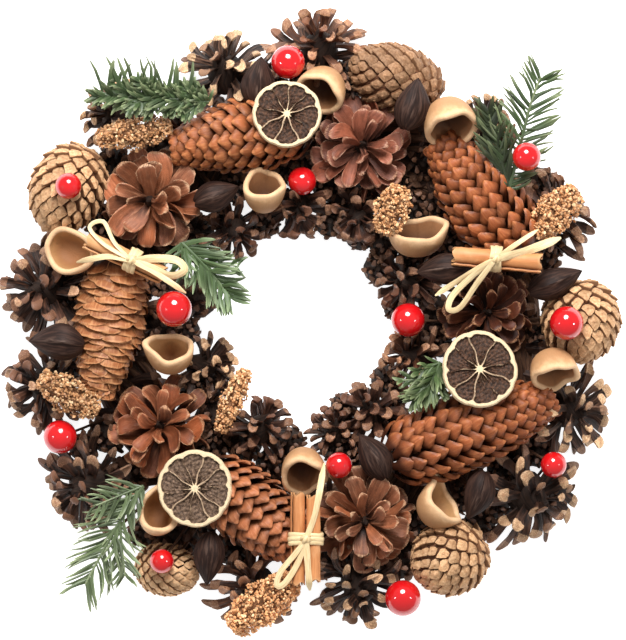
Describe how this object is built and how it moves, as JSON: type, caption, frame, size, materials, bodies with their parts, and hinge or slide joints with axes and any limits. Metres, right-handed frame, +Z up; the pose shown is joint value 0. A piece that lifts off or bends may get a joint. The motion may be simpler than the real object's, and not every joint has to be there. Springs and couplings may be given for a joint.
{
  "type": "pinecone wreath",
  "caption": "Round decorative wreath of open and closed cones, seed cups, dried lime slices, tied cinnamon, fir sprays and berries on a twisted vine ring.",
  "frame": {"origin": "middle of the wreath in plan, on the surface that it lies on", "axes": "+Z up out of the wreath's face, +Y towards the top of the wreath as the picture shows it"},
  "size_m": [0.319, 0.325, 0.0672],
  "materials": {
    "vine": "rough twisted grapevine bark",
    "cone": "matt reddish-brown cone scales with paler edges",
    "spruce": "satin orange-brown cone scales",
    "tan_cone": "matt sandy cone scales with dark grooves",
    "cup": "smooth pale seed pod, darker inside",
    "catkin": "grainy, gold-tan, slightly glittering",
    "needle": "satin green needles",
    "lime": "dried cream rind and membranes, near-black flesh",
    "cinnamon": "matt orange-brown bark",
    "raffia": "satin straw fibre",
    "berry": "high gloss red lacquer"
  },
  "bodies": {
    "root": {"vine_ring": "vine", "spruce_cone_top_left": "spruce", "spruce_cone_top_right": "spruce", "spruce_cone_left": "spruce", "spruce_cone_right": "spruce", "spruce_cone_bottom": "spruce", "sandy_cone_top_left": "tan_cone", "sandy_cone_top": "tan_cone", "sandy_cone_right": "tan_cone", "sandy_cone_bottom_right": "tan_cone", "sandy_cone_bottom_left": "tan_cone", "cup_pod_1": "cup", "cup_pod_2": "cup", "cup_pod_3": "cup", "cup_pod_4": "cup", "cup_pod_5": "cup", "cup_pod_6": "cup", "cup_pod_7": "cup", "cup_pod_8": "cup", "cup_pod_9": "cup", "cup_pod_10": "cup", "cone_cluster_top_left": "cone", "cone_cluster_top_right": "cone", "cone_cluster_right": "cone", "cone_cluster_bottom": "cone", "cone_cluster_bottom_left": "cone", "cone_cluster_top": "cone", "cone_cluster_left": "cone", "catkin_1": "catkin", "catkin_2": "catkin", "catkin_3": "catkin", "catkin_4": "catkin", "catkin_5": "catkin", "catkin_6": "catkin", "fir_spray_top_left": "needle", "fir_spray_top_right": "needle", "fir_spray_left": "needle", "fir_spray_right": "needle", "fir_spray_bottom_left": "needle", "lime_slice_top": "lime", "lime_slice_right": "lime", "lime_slice_left": "lime", "cinnamon_left": "cinnamon", "cinnamon_right": "cinnamon", "cinnamon_bottom": "cinnamon", "raffia_left": "raffia", "raffia_right": "raffia", "raffia_bottom": "raffia", "berry_1": "berry", "berry_2": "berry", "berry_3": "berry", "berry_4": "berry", "berry_5": "berry", "berry_6": "berry", "berry_7": "berry", "berry_8": "berry", "berry_9": "berry", "berry_10": "berry", "berry_11": "berry", "berry_12": "berry"}
  },
  "joints": []
}
